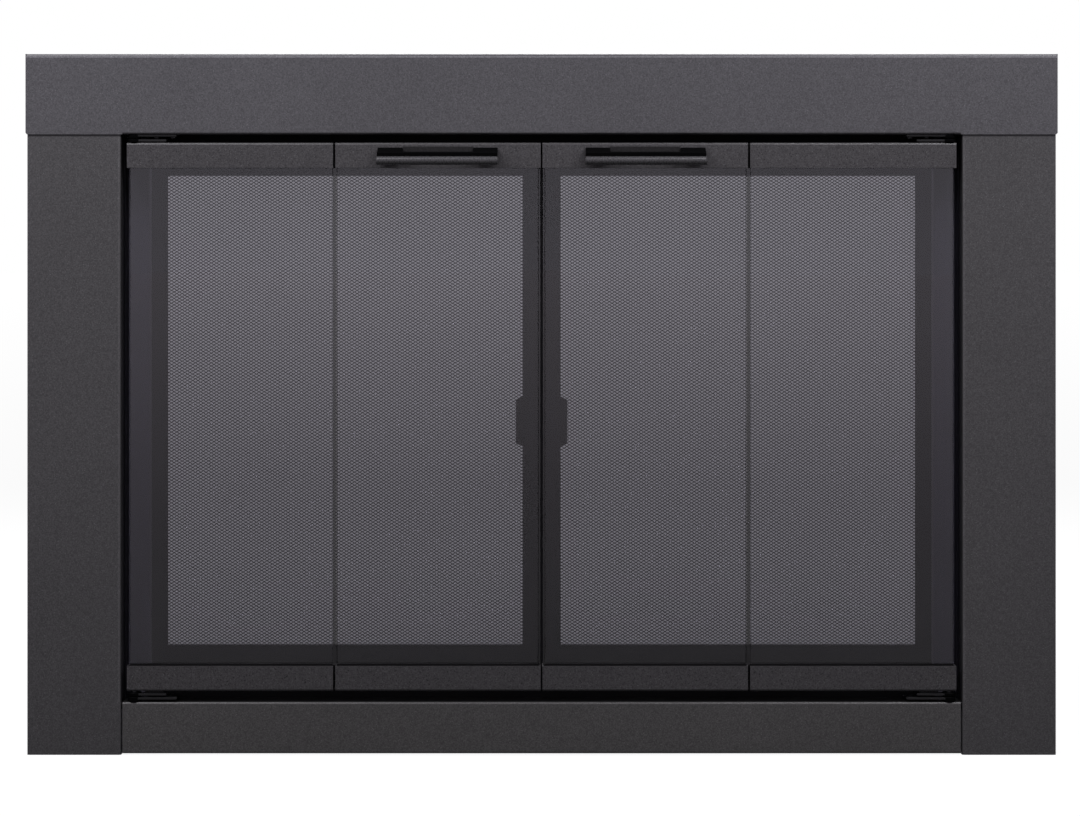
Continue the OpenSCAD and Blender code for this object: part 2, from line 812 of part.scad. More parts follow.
// The bar: a rod with turned ends
module handle_bar(side) {
    rim = 0.8;
    color(coat) at_face() on_side(side) translate([handle_x - handle_l / 2, bar_y, bar_z])
        rotate([0, 90, 0]) {
            cylinder(h = rim, d1 = bar_d - 2 * rim, d2 = bar_d);
            translate([0, 0, rim]) cylinder(h = handle_l - 2 * rim, d = bar_d);
            translate([0, 0, handle_l - rim]) cylinder(h = rim, d1 = bar_d, d2 = bar_d - 2 * rim);
        }
}
module left_handle_bar() { handle_bar(-1); }
module right_handle_bar() { handle_bar(1); }

// The bridge: a black moulding that saddles the bar, with two feet on the rail
module handle_bridge(side) {
    inset = 0.6;
    x0 = handle_x - handle_l / 2 + inset;
    x1 = handle_x + handle_l / 2 - inset;
    color(black) at_face() on_side(side) difference() {
        union() {
            along_x(x0, x1) polygon([
                [bridge_front, bar_z - 3], [bridge_back, bar_z - 2], [bridge_back, bridge_top],
                [bridge_front + 1.5, bridge_top], [bridge_front, bridge_top - 1.5]
            ]);
            for (x = [x0, x1 - foot_w]) along_x(x, x + foot_w) polygon([
                [bridge_back - 1, foot_bottom], [rail_set, foot_bottom - 1], [rail_set, foot_top],
                [rail_set - 9, foot_top], [bridge_back - 1, bridge_top]
            ]);
        }
        translate([x0 - 1, bar_y, bar_z]) rotate([0, 90, 0]) cylinder(h = handle_l + 2, d = bar_d);
    }
}
module left_handle_bridge() { handle_bridge(-1); }
module right_handle_bridge() { handle_bridge(1); }

// ---- Mesh screens ----

// Cross-section of a bar of the screen frame, w wide: a strip folded flat over the mesh
module bar_section(w) {
    mid = screen_t / 2;
    folded([[w, mid], [mid, mid], [mid, screen_d - mid], [w, screen_d - mid]], screen_t, screen_fold_r);
}

module screen_stiles(side) {
    h = screen_top - screen_bottom;
    color(coat_dark) at_face() on_side(side) translate([0, screen_set, screen_bottom]) {
        translate([screen_x0, 0, 0]) linear_extrude(h) bar_section(inner_stile_w);
        translate([screen_x1, 0, 0]) mirror([1, 0, 0]) linear_extrude(h) bar_section(outer_stile_w);
    }
}
module left_screen_stiles() { screen_stiles(-1); }
module right_screen_stiles() { screen_stiles(1); }

// Top and bottom bars, between the stiles
module screen_rails(side) {
    color(coat_dark) at_face() on_side(side) for (way = [0, 1])
        translate([0, screen_set, way == 0 ? screen_bottom : screen_top]) mirror([0, 0, way])
            along_x(mesh_x0, mesh_x1) mirror([1, -1]) bar_section(screen_bar_w);
}
module left_screen_rails() { screen_rails(-1); }
module right_screen_rails() { screen_rails(1); }

// The openings of the expanded metal: rows of diamonds, every other row half a diamond on
module diamonds(w, h) {
    long = w / 2;
    short = h / 2;
    open = 1 - strand_w / 2 * norm([long, short]) / (long * short);
    for (shift = [0, 0.5]) for (i = [0 : mesh_columns - 2 * shift]) for (j = [0 : mesh_rows - 2 * shift])
        translate([(i + shift) * w, (j + shift) * h])
            polygon(open * [[long, 0], [0, short], [-long, 0], [0, -short]]);
}

// Expanded metal mesh: one sheet, its plain edges held inside the folded bars
module screen_mesh(side) {
    w = mesh_x1 - mesh_x0;
    h = mesh_z1 - mesh_z0;
    color(black) at_face() on_side(side) translate([mesh_x0, screen_mid + mesh_t / 2, mesh_z0])
        rotate([90, 0, 0]) linear_extrude(mesh_t) difference() {
            translate([-mesh_edge, -mesh_edge]) square([w + 2 * mesh_edge, h + 2 * mesh_edge]);
            intersection() {
                square([w, h]);
                diamonds(w / mesh_columns, h / mesh_rows);
            }
        }
}
module left_screen_mesh() { screen_mesh(-1); }
module right_screen_mesh() { screen_mesh(1); }

// Pull tab: a strip on the inner stile, bent towards the room, with its corners cut off
module screen_pull(side) {
    leg_x = screen_x0 + 6;
    leg_y = screen_set - tab_t / 2;
    color(coat_dark) at_face() on_side(side) translate([0, 0, tab_z]) intersection() {
        translate([0, 0, -tab_h / 2]) linear_extrude(tab_h) {
            strip([leg_x, leg_y], [tab_crease_x, leg_y], tab_t);
            translate([tab_crease_x, leg_y]) circle(d = tab_t);
            strip([tab_crease_x, leg_y], [tab_end_x, leg_y - tab_rise], tab_t);
        }
        translate([0, screen_set + 1, 0]) rotate([90, 0, 0]) linear_extrude(tab_rise + 5) polygon([
            [leg_x, -tab_h / 2], [mesh_x0, -tab_h / 2], [tab_end_x + 1, -tab_end_h / 2],
            [tab_end_x + 1, tab_end_h / 2], [mesh_x0, tab_h / 2], [leg_x, tab_h / 2]
        ]);
    }
}
module left_screen_pull() { screen_pull(-1); }
module right_screen_pull() { screen_pull(1); }

// Screen pins: each on a plug in the end of the outer stile, the lower one with a collar
module screen_pins(side) {
    slot = screen_d - 2 * screen_t;
    plug_w = screen_x1 - screen_t - screen_fold_r - screen_pin_x;
    color(zinc) at_face() on_side(side) translate([screen_pin_x, screen_mid, 0]) {
        for (z = [screen_bottom, screen_top - screen_plug_h]) translate([-plug_w, -slot / 2, z])
            cube([2 * plug_w, slot, screen_plug_h]);
        translate([0, 0, screen_top]) cylinder(h = screen_pin_h, d = screen_pin_d);
        translate([0, 0, screen_bottom - screen_pin_h]) cylinder(h = screen_pin_h, d = screen_pin_d);
        translate([0, 0, sill_z + 0.3]) cylinder(h = screen_bottom - sill_z - 0.3, d = 8);
    }
}
module left_screen_pins() { screen_pins(-1); }
module right_screen_pins() { screen_pins(1); }

header_panel();
left_side_panel();
right_side_panel();
bottom_panel();
left_jamb();
right_jamb();
head_channel();
sill_channel();
corner_brackets();
frame_fasteners();
floor_brackets();
lintel_clamps();
pivot_plates();
fixed_pivot_bushes();
catch_magnets();
left_outer_glass();
left_outer_top_rail();
left_outer_bottom_rail();
left_outer_gaskets();
left_pivot_leaves();
left_pivot_bushes();
left_pivot_pins();
left_outer_hinge_leaves();
left_inner_glass();
left_inner_top_rail();
left_inner_bottom_rail();
left_inner_gaskets();
left_inner_hinge_leaves();
left_fold_pins();
left_handle_bar();
left_handle_bridge();
left_fold_seal();
left_meeting_strip();
right_outer_glass();
right_outer_top_rail();
right_outer_bottom_rail();
right_outer_gaskets();
right_pivot_leaves();
right_pivot_bushes();
right_pivot_pins();
right_outer_hinge_leaves();
right_inner_glass();
right_inner_top_rail();
right_inner_bottom_rail();
right_inner_gaskets();
right_inner_hinge_leaves();
right_fold_pins();
right_handle_bar();
right_handle_bridge();
right_fold_seal();
left_screen_rails();
left_screen_stiles();
left_screen_mesh();
left_screen_pull();
left_screen_pins();
right_screen_rails();
right_screen_stiles();
right_screen_mesh();
right_screen_pull();
right_screen_pins();
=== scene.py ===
import math

import bmesh
import bpy
from mathutils import Matrix, Vector


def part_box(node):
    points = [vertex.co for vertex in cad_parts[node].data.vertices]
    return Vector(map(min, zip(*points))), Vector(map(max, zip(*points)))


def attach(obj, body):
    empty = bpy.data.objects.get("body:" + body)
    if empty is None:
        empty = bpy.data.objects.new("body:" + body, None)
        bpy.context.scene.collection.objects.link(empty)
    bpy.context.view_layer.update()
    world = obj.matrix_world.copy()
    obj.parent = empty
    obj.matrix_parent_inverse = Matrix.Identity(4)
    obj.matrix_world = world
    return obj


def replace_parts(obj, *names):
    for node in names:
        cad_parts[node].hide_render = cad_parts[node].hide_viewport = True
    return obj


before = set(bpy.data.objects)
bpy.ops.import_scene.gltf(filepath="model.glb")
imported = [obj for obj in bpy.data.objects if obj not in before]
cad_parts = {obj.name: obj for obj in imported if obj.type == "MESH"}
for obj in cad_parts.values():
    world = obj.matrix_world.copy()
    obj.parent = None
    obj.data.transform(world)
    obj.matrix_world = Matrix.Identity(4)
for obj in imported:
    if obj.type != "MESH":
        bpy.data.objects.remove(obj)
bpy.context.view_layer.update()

# ---- Surround panels ----
# The header, two side panels and the bottom panel are sheet steel folded on a press brake.
# All four are powder coated in a charcoal with a fine satin grain.
# The header, the sides and the bottom differ a little in shade in the photograph, which may be
# light rather than paint. Here each has a coat of its own.

mm = 0.001


def put(tree, kind, inputs=(), **settings):
    """Adds a node. Its settings are properties, and inputs give sockets a value or an output."""
    node = tree.nodes.new("ShaderNode" + kind)
    for name, value in settings.items():
        setattr(node, name, value)
    for socket, value in dict(inputs).items():
        if isinstance(value, bpy.types.NodeSocket):
            tree.links.new(value, node.inputs[socket])
        else:
            node.inputs[socket].default_value = value
    return node


def maths(tree, operation, first, second):
    """The result of a sum, product or the like of two values."""
    return put(tree, "Math", {0: first, 1: second}, operation=operation).outputs[0]


def product(tree, first, *others):
    """All the values multiplied."""
    for other in others:
        first = maths(tree, "MULTIPLY", first, other)
    return first


def spread(tree, value, low, high, new_low, new_high):
    """Stretches a value's range from low and high to new_low and new_high."""
    sockets = {"Value": value, "From Min": low, "From Max": high, "To Min": new_low, "To Max": new_high}
    return put(tree, "MapRange", sockets).outputs[0]


def noise_between(tree, value, new_low, new_high):
    """Stretches a noise to new_low and new_high, from the limits that it mostly stays within."""
    return spread(tree, value, 0.3, 0.7, new_low, new_high)


def within(tree, value, low, high):
    """One where a value lies between two limits in mm, and nothing elsewhere."""
    over = maths(tree, "GREATER_THAN", value, low * mm)
    return product(tree, over, maths(tree, "LESS_THAN", value, high * mm))


def tinted(tree, colour, factor):
    """A colour made lighter or darker by a factor that changes over the surface."""
    return put(tree, "VectorMath", {0: colour, "Scale": factor}, operation="SCALE").outputs[0]


def place(tree):
    """Where a point is on the object, in metres."""
    return put(tree, "TexCoord").outputs["Object"]


def noise(tree, at, scale, detail):
    """A soft noise, from nothing to one."""
    return put(tree, "TexNoise", {"Vector": at, "Scale": scale, "Detail": detail}).outputs["Fac"]


def bumped(tree, height, strength, distance):
    """The normal of a surface with a slight relief, whose full height is a distance in metres."""
    sockets = {"Height": height, "Strength": strength, "Distance": distance}
    return put(tree, "Bump", sockets).outputs["Normal"]


def effect(name, inputs, outputs):
    """An empty group for an effect that several finishes use, with its sockets."""
    tree = bpy.data.node_groups.new(name, "ShaderNodeTree")
    for label, kind in outputs.items():
        tree.interface.new_socket(label, in_out="OUTPUT", socket_type="NodeSocket" + kind)
    for label, value in inputs.items():
        kind = "Color" if isinstance(value, tuple) else "Float"
        socket = tree.interface.new_socket(label, in_out="INPUT", socket_type="NodeSocket" + kind)
        socket.default_value = value
    return tree, tree.nodes.new("NodeGroupInput").outputs, tree.nodes.new("NodeGroupOutput").inputs


def finish(name, **plain):
    """A material with one Principled shader. Its plain sockets are given by name."""
    made = bpy.data.materials.new(name)
    made.use_nodes = True
    shader = made.node_tree.nodes["Principled BSDF"]
    for socket, value in plain.items():
        shader.inputs[socket.replace("_", " ")].default_value = value
    return made, made.node_tree, shader.inputs


def wear(names, material):
    """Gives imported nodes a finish."""
    for name in names:
        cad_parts[name].material_slots[0].material = material


# Baked coat: an uneven colour with light flecks, a roughness that follows it and orange peel.
# One grain in ten holds a fleck, which covers the middle of its grain.
cloud_scale = 7.0
fleck_lot = 0.9
fleck_radius = 0.3
fleck_gain = 3.0
rough_change = 0.06
peel_fineness = 0.7
peel_height = 0.1 * mm

coat_grain, given, made = effect(
    "coat grain",
    {"Colour": (0.05, 0.05, 0.05, 1), "Fleck": 0.1, "Grain": 0.0013, "Roughness": 0.45, "Peel": 0.2},
    {"Colour": "Color", "Roughness": "Float", "Normal": "Vector"},
)
fineness = maths(coat_grain, "DIVIDE", 1.0, given["Grain"])
grain = noise(coat_grain, place(coat_grain), fineness, detail=2.0)
uneven = noise_between(coat_grain, grain, -1.0, 1.0)
cells = put(coat_grain, "TexVoronoi", {"Vector": place(coat_grain), "Scale": fineness})
lot = put(coat_grain, "SeparateColor", {0: cells.outputs["Color"]}).outputs[0]
chosen = maths(coat_grain, "GREATER_THAN", lot, fleck_lot)
dot = maths(coat_grain, "LESS_THAN", cells.outputs["Distance"], fleck_radius)
light_fleck = product(coat_grain, chosen, dot, fleck_gain)
shade = product(coat_grain, maths(coat_grain, "ADD", uneven, light_fleck), given["Fleck"])
cloud = noise(coat_grain, place(coat_grain), cloud_scale, detail=3.0)
mottle = noise_between(coat_grain, cloud, 0.96, 1.04)
tone = product(coat_grain, maths(coat_grain, "ADD", shade, 1.0), mottle)
coat_grain.links.new(tinted(coat_grain, given["Colour"], tone), made["Colour"])
rougher = product(coat_grain, uneven, rough_change)
coat_grain.links.new(maths(coat_grain, "ADD", given["Roughness"], rougher), made["Roughness"])
peel_scale = product(coat_grain, fineness, peel_fineness)
peel = noise(coat_grain, place(coat_grain), peel_scale, detail=1.0)
coat_grain.links.new(bumped(coat_grain, peel, given["Peel"], peel_height), made["Normal"])

# Painted shade darkens the returns of the folds in the opening, so that the gaps beside the doors
# are near black. A painted highlight, a paler line along the header's top fold and the sides' inner
# folds, adds to their highlights.
# The limits are heights, distances from the middle and depths from the face, in mm.
opening_z = (56, 664.5)
return_x = (450.7, 451.2)
return_depth = (1, 3)
return_shade = 0.08
top_fold_z = (746.2, 747.4)
top_fold_highlight_gain = 1.6
side_fold_x = (451.3, 453.4)
side_fold_highlight_gain = 0.28
face_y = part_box("header_panel")[0].y

painted_fold_light, _, made = effect("painted shade and highlights on the folds", {}, {"Painted light": "Float"})
where = put(painted_fold_light, "SeparateXYZ", {0: place(painted_fold_light)}).outputs
off_middle = maths(painted_fold_light, "ABSOLUTE", where["X"], 0.0)
level = within(painted_fold_light, where["Z"], *opening_z)
across = spread(painted_fold_light, off_middle, *(limit * mm for limit in return_x), 1.0, 0.0)
deep = spread(painted_fold_light, where["Y"], *(face_y + limit * mm for limit in return_depth), 0.0, 1.0)
inside = product(painted_fold_light, level, across, deep)
# Painted shade darkens the returns, and painted highlights lighten the folds.
shaded_returns = spread(painted_fold_light, inside, 0.0, 1.0, 1.0, return_shade)
top_fold_highlight = product(painted_fold_light, within(painted_fold_light, where["Z"], *top_fold_z), top_fold_highlight_gain)
side_fold_highlight = product(painted_fold_light, within(painted_fold_light, off_middle, *side_fold_x), level, side_fold_highlight_gain)
painted_highlights = maths(painted_fold_light, "ADD", top_fold_highlight, side_fold_highlight)
painted_fold_light.links.new(maths(painted_fold_light, "ADD", shaded_returns, painted_highlights), made["Painted light"])


def coat(name, colour, specular, light_mask=None, **grain_values):
    """A baked or moulded finish with the grain above, and a mask of painted shade and highlight, rough
    where shaded.
    """
    masked_roughness = 0.6
    material, tree, shader = finish(name, Specular_IOR_Level=specular)
    grain = put(tree, "Group", node_tree=coat_grain)
    grain.inputs["Colour"].default_value = (*colour, 1)
    for key, value in grain_values.items():
        grain.inputs[key.capitalize()].default_value = value
    shown, roughness = grain.outputs["Colour"], grain.outputs["Roughness"]
    if light_mask:
        painted_light = put(tree, "Group", node_tree=light_mask).outputs["Painted light"]
        # The mask paints shade and highlights into the colour, and makes the shaded parts rougher.
        shown = tinted(tree, shown, painted_light)
        roughness = spread(tree, painted_light, 0.0, 1.0, masked_roughness, roughness)
    tree.links.new(shown, shader["Base Color"])
    tree.links.new(roughness, shader["Roughness"])
    tree.links.new(grain.outputs["Normal"], shader["Normal"])
    return material


panel_coats = (
    ("charcoal powder coat", (0.0466, 0.0448, 0.0464), 0.33, ["left_side_panel", "right_side_panel"]),
    ("header powder coat", (0.0578, 0.0558, 0.0605), 0.29, ["header_panel"]),
    ("bottom powder coat", (0.0535, 0.0513, 0.0512), 0.34, ["bottom_panel"]),
)
for name, colour, fleck, panels in panel_coats:
    wear(panels, coat(name, colour, specular=0.25, light_mask=painted_fold_light, roughness=0.35, fleck=fleck))

# ---- Inner frame ----
# Two Z-shaped jambs and two channels stand behind the opening and carry the mesh screens.
# The channels, seen in the gaps, have a matt black coat. The jambs are read as grey primer,
# and painted shade darkens their outer edges, which show in the gaps.

jamb_edge_x = (445.7, 447.2)
jamb_edge_shade = 0.07
jamb_gap_x = (449.2, 450.2)
jamb_gap_shade = 0.08

matt_black = coat("matt black coat", (0.007, 0.0069, 0.0071), specular=0.05, roughness=0.55, fleck=0.15)
wear(["head_channel", "sill_channel"], matt_black)
# Painted shade: the jambs are darkened beyond the glass edges, and darker still in the gaps.
painted_jamb_shade, _, made = effect("painted shade at the jamb edges", {}, {"Painted light": "Float"})
x_here = put(painted_jamb_shade, "SeparateXYZ", {0: place(painted_jamb_shade)}).outputs["X"]
off_middle = maths(painted_jamb_shade, "ABSOLUTE", x_here, 0.0)
edge = spread(painted_jamb_shade, off_middle, *(limit * mm for limit in jamb_edge_x), 1.0, jamb_edge_shade)
gap = spread(painted_jamb_shade, off_middle, *(limit * mm for limit in jamb_gap_x), 1.0, jamb_gap_shade)
painted_jamb_shade.links.new(product(painted_jamb_shade, edge, gap), made["Painted light"])
primer = coat(
    "grey primer", (0.224, 0.216, 0.26), specular=0.03, light_mask=painted_jamb_shade, roughness=0.5, fleck=0.1
)
wear(["left_jamb", "right_jamb"], primer)

# ---- Brackets and fasteners ----
# Corner brackets, floor brackets and lintel clamps are zinc-plated strip, with plated bolts.
# Plating dulls in soft patches, and the brushed strip under it shows as faint lines.

zinc_colour = (0.6, 0.62, 0.65)
patch_scale = 60.0
brush_scale = (60.0, 900.0, 900.0)
brush_strength = 0.15
brush_height = 0.05 * mm

zinc, zinc_tree, zinc_shader = finish("zinc plating", Metallic=1.0)
patches = noise(zinc_tree, place(zinc_tree), patch_scale, detail=4.0)
stretched = put(zinc_tree, "Mapping", {"Vector": place(zinc_tree), "Scale": brush_scale}).outputs[0]
lines = noise(zinc_tree, stretched, scale=1.0, detail=2.0)
dulled = noise_between(zinc_tree, patches, 0.8, 1.05)
zinc_tree.links.new(tinted(zinc_tree, zinc_colour, dulled), zinc_shader["Base Color"])
zinc_tree.links.new(noise_between(zinc_tree, patches, 0.42, 0.28), zinc_shader["Roughness"])
zinc_tree.links.new(bumped(zinc_tree, lines, brush_strength, brush_height), zinc_shader["Normal"])
wear(["corner_brackets", "floor_brackets", "lintel_clamps", "frame_fasteners"], zinc)


def verts_of(geometry):
    """The vertices among what an operator gives back."""
    return [part for part in geometry if isinstance(part, bmesh.types.BMVert)]


def rounded(mesh, edges, rim):
    """Rounds some edges, with a rim in mm."""
    bmesh.ops.bevel(
        mesh, geom=edges, offset=rim * mm, segments=2, profile=0.5, affect="EDGES", material=-1
    )


def turned(profile, segments):
    """A closed solid turned about Z. The profile lists radii and heights in mm, from axis to axis."""
    mesh = bmesh.new()
    verts = [mesh.verts.new((radius * mm, 0, height * mm)) for radius, height in profile]
    edges = [mesh.edges.new(ends) for ends in zip(verts, verts[1:])]
    bmesh.ops.spin(
        mesh, geom=verts + edges, cent=(0, 0, 0), axis=(0, 0, 1), angle=math.tau, steps=segments,
        use_merge=True,
    )
    bmesh.ops.remove_doubles(mesh, verts=mesh.verts, dist=mm / 1000)
    bmesh.ops.recalc_face_normals(mesh, faces=mesh.faces)
    return mesh


def squeezed(mesh, segments, chosen, factor):
    """Draws some vertices of a turned solid towards its axis.

    They are chosen by radius and height in mm, and by the number of their segment."""
    on_axis = 0.01
    picked = []
    for vert in mesh.verts:
        radius = math.hypot(vert.co.x, vert.co.y) / mm
        if radius > on_axis:
            number = round(math.atan2(vert.co.y, vert.co.x) / (math.tau / segments))
            if chosen(radius, vert.co.z / mm, number):
                picked.append(vert)
    bmesh.ops.scale(mesh, verts=picked, vec=(factor, factor, 1))


def gathered(meshes):
    """One mesh made of several."""
    whole = bmesh.new()
    for mesh in meshes:
        data = bpy.data.meshes.new("part")
        mesh.to_mesh(data)
        whole.from_mesh(data)
        bpy.data.meshes.remove(data)
    return whole


def nut():
    """A hexagon nut with chamfered rims, on the end of its stud."""
    corner_radius, thickness, chamfer = 4.5, 3, 0.35
    mesh = bmesh.new()
    bmesh.ops.create_circle(mesh, cap_ends=True, radius=corner_radius * mm, segments=6)
    top = bmesh.ops.extrude_face_region(mesh, geom=mesh.faces[:])["geom"]
    bmesh.ops.translate(mesh, verts=verts_of(top), vec=(0, 0, thickness * mm))
    bmesh.ops.recalc_face_normals(mesh, faces=mesh.faces)
    rims = [edge for edge in mesh.edges if abs(edge.verts[0].co.z - edge.verts[1].co.z) < mm / 10]
    rounded(mesh, rims, chamfer)
    threads = [(2.5, 3.1), (2.2, 3.25), (2.5, 3.4), (2.2, 3.55), (2.4, 3.7)]
    stud = turned([(0, 2), (2.5, 2)] + threads + [(1.9, 4), (0, 4)], 20)
    return gathered([mesh, stud])


def clamp_screw():
    """A knurled head, a threaded shank and a flat pad, in one line."""
    knurls, knurl_draw = 96, 0.955
    pitch, root_radius, crest_radius, thread_end = 1.25, 3.4, 4, 47
    head_profile = [(0, 0), (8.6, 0), (9.3, 0.3), (10, 1), (10, 7), (9.3, 7.7), (8.6, 8), (0, 8)]
    head = turned(head_profile, knurls)
    squeezed(head, knurls, lambda radius, height, number: radius > 9.9 and number % 2, knurl_draw)
    thread = [(root_radius, 8.4)]
    while thread[-1][1] < thread_end:
        at = thread[-1][1]
        thread += [(crest_radius, at + 0.5 * pitch), (root_radius, at + pitch)]
    shank = turned([(0, 8), (root_radius, 8)] + thread + [(3.2, 48.9), (0, 48.9)], 24)
    pad = turned([(0, 49), (4.6, 49), (10.5, 49), (11, 49.5), (11, 51.6), (10.6, 52), (0, 52)], 48)
    return gathered([head, shank, pad])


def set_on_both_sides(shape, spots):
    """Sets a shape at each spot and its mirror image.

    A spot has x, depth and height in mm, and a direction."""
    copies = []
    for x, depth, height, way in spots:
        for side in (-1, 1):
            copy = shape.copy()
            aim = Vector((side * way[0], way[1], way[2]))
            turn = Vector((0, 0, 1)).rotation_difference(aim).to_matrix()
            bmesh.ops.rotate(copy, verts=copy.verts, matrix=turn)
            at = Vector((side * x * mm, face_y + depth * mm, height * mm))
            bmesh.ops.translate(copy, verts=copy.verts, vec=at)
            copies.append(copy)
    return gathered(copies)


def in_scene(name, data):
    """A new object in the scene."""
    made = bpy.data.objects.new(name, data)
    bpy.context.scene.collection.objects.link(made)
    return made


def piece(name, mesh, material, body):
    """Makes an object of a finished bmesh, with its finish, which rides on a body."""
    data = bpy.data.meshes.new(name)
    mesh.to_mesh(data)
    data.materials.append(material)
    made = in_scene(name, data)
    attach(made, body)
    return made


# The nuts of the corner brackets, on the panels' backs and sides, then those of the floor
# brackets and the lintel clamps
back, inwards, up, down = (0, 1, 0), (-1, 0, 0), (0, 0, 1), (0, 0, -1)
header_bolt_z, foot_bolt_z, floor_bolt_z = (683, 725), (19, 39), (22, 44)
nuts = []
for x, header_depth, foot_depth, way in ((430, 3.5, 5, back), (448, 12.5, 14, inwards)):
    nuts += [(x, header_depth, height, way) for height in header_bolt_z]
    nuts += [(x, foot_depth, height, way) for height in foot_bolt_z]
nuts += [(421.5, 54, height, inwards) for height in floor_bolt_z] + [(300, 37.5, 672, back)]
frame_nuts = piece("frame_nuts", set_on_both_sides(nut(), nuts), zinc, "surround")
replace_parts(frame_nuts, "frame_fasteners")
clamps = set_on_both_sides(clamp_screw(), [(300, 96, 673, up)])
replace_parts(piece("clamp_screws", clamps, zinc, "surround"), "frame_fasteners")

# ---- Pivots ----
# Fixed plates on the surround and leaves on the rails meet at a steel pin, above and below.
# The plates are dark coated steel, and round black bushes keep them apart.

plate_screw_x = (398, 416)
plate_screw_depth = 24
upper_plate_z = 661.9
lower_plate_z = 58.6

dark_steel = coat(
    "dark hinge coat", (0.014, 0.0136, 0.0142), specular=0.1, roughness=0.42, fleck=0.12, grain=0.001
)
black_oxide = coat(
    "black oxide", (0.011, 0.0112, 0.0118), specular=0.45, roughness=0.34, fleck=0.2, grain=0.0006
)
moulded = coat(
    "black moulding", (0.0014, 0.0014, 0.0015), specular=0.01, roughness=0.4, fleck=0.15,
    grain=0.0007, peel=0.15,
)
wear(["pivot_plates"], dark_steel)
wear(["fixed_pivot_bushes"], moulded)
for side in ("left", "right"):
    wear([side + "_pivot_leaves"], dark_steel)
    wear([side + "_pivot_bushes"], moulded)
    wear([side + "_pivot_pins"], black_oxide)


def cross_screw():
    """The head of a pan screw with a cross recess."""
    segments, recess_draw = 16, 0.45
    rim = [(0, 0), (4, 0), (4, 1.1), (3.8, 1.6), (3.3, 1.95), (2.6, 2.15), (1.9, 2.2)]
    mesh = turned(rim + [(1.7, 1.2), (0, 0.9)], segments)
    squeezed(mesh, segments, lambda radius, height, number: radius < 2 and number % 4, recess_draw)
    return mesh


spots = [(x, plate_screw_depth, upper_plate_z, down) for x in plate_screw_x]
spots += [(x, plate_screw_depth, lower_plate_z, up) for x in plate_screw_x]
plate_screws = set_on_both_sides(cross_screw(), spots)
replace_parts(piece("plate_screws", plate_screws, black_oxide, "surround"), "frame_fasteners")

# ---- Door rails ----
# Each panel hangs between two clamp rails, U-shaped and folded, with a welded ear at the ends.
# They have the coat of the surround, a shade darker than its face.

rail_coat = coat(
    "rail powder coat", (0.0352, 0.0334, 0.035), specular=0.27, roughness=0.33, fleck=0.5
)
for side in ("left", "right"):
    for panel in ("outer", "inner"):
        wear([f"{side}_{panel}_{end}_rail" for end in ("top", "bottom")], rail_coat)

# ---- Glass ----
# The panels are toughened 5 mm sheet, tinted smoke grey through its thickness.
# Toughening on rollers leaves a faint wave in the surface.
# Clear seals with a darker tint close the joints between the panes and run along their free edges.


def clear(name, tint, specular):
    """A glass-like finish. The tint is what passes through both faces, which shadows keep too."""
    tint_scale, roller_scale, wave_strength, wave_height = 9.0, (4.0, 4.0, 28.0), 0.02, 2 * mm
    material, tree, shader = finish(
        name, Base_Color=(*tint, 1), Roughness=0.0, Specular_IOR_Level=specular, Transmission_Weight=1.0
    )
    depth = noise_between(tree, noise(tree, place(tree), tint_scale, detail=2.0), 0.98, 1.02)
    tree.links.new(tinted(tree, tint, depth), shader["Base Color"])
    across = put(tree, "Mapping", {"Vector": place(tree), "Scale": roller_scale}).outputs[0]
    wave = noise(tree, across, scale=1.0, detail=1.0)
    tree.links.new(bumped(tree, wave, wave_strength, wave_height), shader["Normal"])
    one_face = (*(math.sqrt(part) for part in tint), 1)
    shadow = put(tree, "BsdfTransparent", {"Color": one_face})
    is_shadow = put(tree, "LightPath").outputs["Is Shadow Ray"]
    both = put(tree, "MixShader", {0: is_shadow})
    tree.links.new(tree.nodes["Principled BSDF"].outputs[0], both.inputs[1])
    tree.links.new(shadow.outputs[0], both.inputs[2])
    tree.links.new(both.outputs[0], tree.nodes["Material Output"].inputs["Surface"])
    return material


def block(across, depth, height, rim):
    """A block with rounded rims, given by its two limits each way in mm. The depth is from the face."""
    mesh = bmesh.new()
    bmesh.ops.create_cube(mesh, size=1)
    limits = (across, depth, height)
    bmesh.ops.scale(mesh, verts=mesh.verts, vec=[(high - low) * mm for low, high in limits])
    middle = Vector([(low + high) / 2 * mm for low, high in limits]) + Vector((0, face_y, 0))
    bmesh.ops.translate(mesh, verts=mesh.verts, vec=middle)
    rounded(mesh, mesh.edges[:], rim)
    return mesh


edge_seal_x = (1.4, 3.3)
edge_seal_depth = (5.7, 10.3)
edge_seal_z = (95.6, 627.6)
smoke = clear("smoked glass", (0.179, 0.173, 0.196), specular=0.35)
dark_smoke = clear("dark smoked seal", (0.07, 0.069, 0.072), specular=0.3)
for side, towards in (("left", -1), ("right", 1)):
    wear([side + "_outer_glass", side + "_inner_glass"], smoke)
    wear([side + "_fold_seal"], dark_smoke)
    seal = block(sorted(towards * x for x in edge_seal_x), edge_seal_depth, edge_seal_z, rim=0.3)
    piece(side + "_edge_seal", seal, dark_smoke, side + "_inner_door")

# ---- Gaskets ----
# A U-shaped strip of black silicone packs each end of the glass in its rail.
# Below, where the glass stands in it, a rounded lip of it shows above the rail.

lip_inset = 0.5
lip_depth = (3.2, 5.4)
lip_z = (94.5, 97.2)
rubber = coat(
    "black silicone", (0.0035, 0.0034, 0.0036), specular=0.05, roughness=0.6, fleck=0.15, grain=0.0009
)
for side in ("left", "right"):
    wear([side + "_outer_gaskets", side + "_inner_gaskets"], rubber)
    for panel in ("outer", "inner"):
        low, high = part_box(f"{side}_{panel}_glass")
        lip = block((low.x / mm + lip_inset, high.x / mm - lip_inset), lip_depth, lip_z, rim=0.4)
        piece(f"{side}_{panel}_gasket_lip", lip, rubber, f"{side}_{panel}_door")

